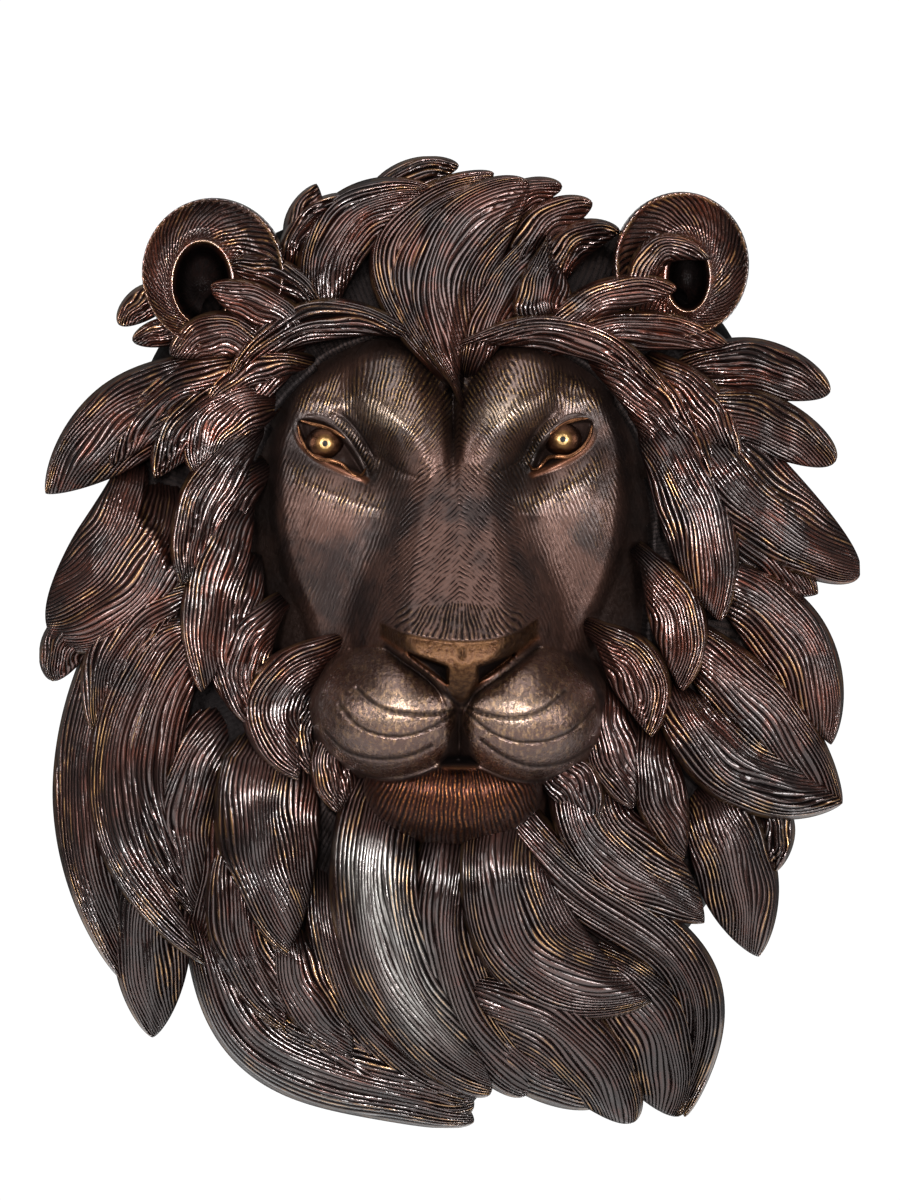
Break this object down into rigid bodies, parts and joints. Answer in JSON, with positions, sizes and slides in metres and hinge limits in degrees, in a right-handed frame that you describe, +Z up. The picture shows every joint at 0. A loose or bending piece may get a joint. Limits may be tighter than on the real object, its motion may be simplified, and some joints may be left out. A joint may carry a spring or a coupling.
{
  "type": "lion head wall hanging",
  "caption": "Cast brass lion head wall hanging: a lion's face in a mane of overlapping locks, dark brown patina, hollow open back with a flat hanging pad.",
  "frame": {"origin": "centre of the flat hanging pad at the top of the back, on the plane that lies against the wall", "axes": "+Z up the wall, +Y out of the back into the wall, -Y is the way the lion looks, +X to the viewer's right"},
  "size_m": [0.5546, 0.2033, 0.6565],
  "materials": {
    "brass_patina": "dark brown patina rubbed through to brass on the ridges, clear glossy lacquer"
  },
  "bodies": {
    "root": {"lion_head": "brass_patina"}
  },
  "joints": []
}
